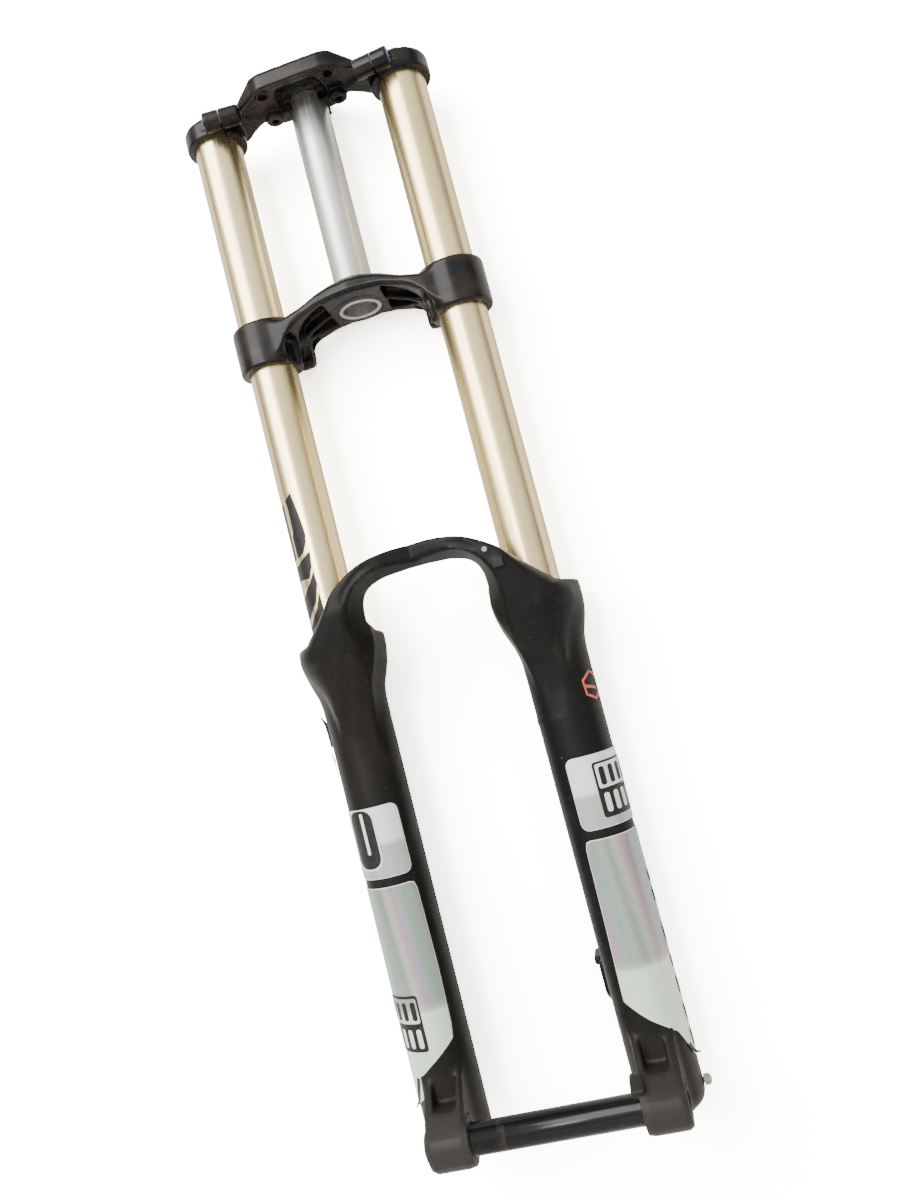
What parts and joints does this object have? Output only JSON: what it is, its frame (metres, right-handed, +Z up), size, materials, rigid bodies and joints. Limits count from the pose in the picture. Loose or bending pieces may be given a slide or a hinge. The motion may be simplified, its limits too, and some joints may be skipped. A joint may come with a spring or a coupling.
{
  "type": "suspension fork",
  "caption": "Dual-crown telescopic bicycle fork with gold stanchions, black crowns, a one-piece lower casting with a front arch, and a through axle.",
  "frame": {"origin": "centre of the steerer axis at the lower crown's bearing seat", "axes": "+Z up the steerer axis, -Y forward, +X to the rider's left"},
  "size_m": [0.2024, 0.0887, 0.7635],
  "materials": {
    "gold_anodised": "satin champagne-gold anodised",
    "black_forged": "glossy black over forged aluminium",
    "black_magnesium": "satin black paint on cast magnesium",
    "bare_aluminium": "satin bare aluminium",
    "black_anodised": "glossy black anodised",
    "steel": "plated steel",
    "rubber": "matt black",
    "bushing_polymer": "low-friction lined bushing",
    "foam": "oiled open-cell foam",
    "blue_anodised": "blue anodised",
    "red_anodised": "red anodised"
  },
  "bodies": {
    "crown_assembly": {"steerer_tube": "bare_aluminium", "lower_crown": "black_forged", "upper_crown": "black_forged", "stanchion_right": "gold_anodised", "stanchion_left": "gold_anodised", "lower_crown_bolt_right_upper": "steel", "lower_crown_bolt_right_lower": "steel", "lower_crown_bolt_left_upper": "steel", "lower_crown_bolt_left_lower": "steel", "upper_crown_bolt_right": "blue_anodised", "upper_crown_bolt_left": "blue_anodised", "steerer_pinch_bolt": "steel", "compression_top_cap": "black_anodised", "air_top_cap": "black_anodised", "air_valve": "steel", "compression_valve": "bare_aluminium", "damper_seal_head": "black_anodised", "air_seal_head": "black_anodised"},
    "lower_legs": {"lower_casting": "black_magnesium", "wiper_seal_right": "rubber", "foam_ring_right": "foam", "upper_bushing_right": "bushing_polymer", "lower_bushing_right": "bushing_polymer", "bottom_out_bumper_right": "rubber", "crush_washer_right": "bushing_polymer", "foot_bolt_right": "black_anodised", "wiper_seal_left": "rubber", "foam_ring_left": "foam", "upper_bushing_left": "bushing_polymer", "lower_bushing_left": "bushing_polymer", "bottom_out_bumper_left": "rubber", "crush_washer_left": "bushing_polymer", "foot_bolt_left": "black_anodised", "damper_shaft": "steel", "air_shaft": "steel", "rebound_piston": "bare_aluminium", "air_piston": "bare_aluminium", "hose_guide": "rubber", "hose_guide_screw": "bare_aluminium", "leg_side_screw": "steel"},
    "axle": {"through_axle": "black_anodised"},
    "compression_adjuster": {"compression_knob": "blue_anodised"},
    "rebound_adjuster": {"rebound_knob": "red_anodised"}
  },
  "joints": [
    {"name": "fork_travel", "type": "slide", "parent": "crown_assembly", "child": "lower_legs", "axis": [0, 0, 1], "range_m": [0, 0.2], "stiffness_N_per_m": 5500, "springref_m": -0.03},
    {"name": "axle_withdrawal", "type": "slide", "parent": "lower_legs", "child": "axle", "axis": [-1, 0, 0], "range_m": [0, 0.145]},
    {"name": "compression_adjust", "type": "hinge", "parent": "crown_assembly", "child": "compression_adjuster", "pos_m": [-0.0724, -0.0112, 0.145], "axis": [0, 0, 1], "range_deg": [0, 270]},
    {"name": "rebound_adjust", "type": "hinge", "parent": "lower_legs", "child": "rebound_adjuster", "pos_m": [-0.0724, -0.0112, -0.601], "axis": [0, 0, -1], "range_deg": [0, 270]}
  ]
}
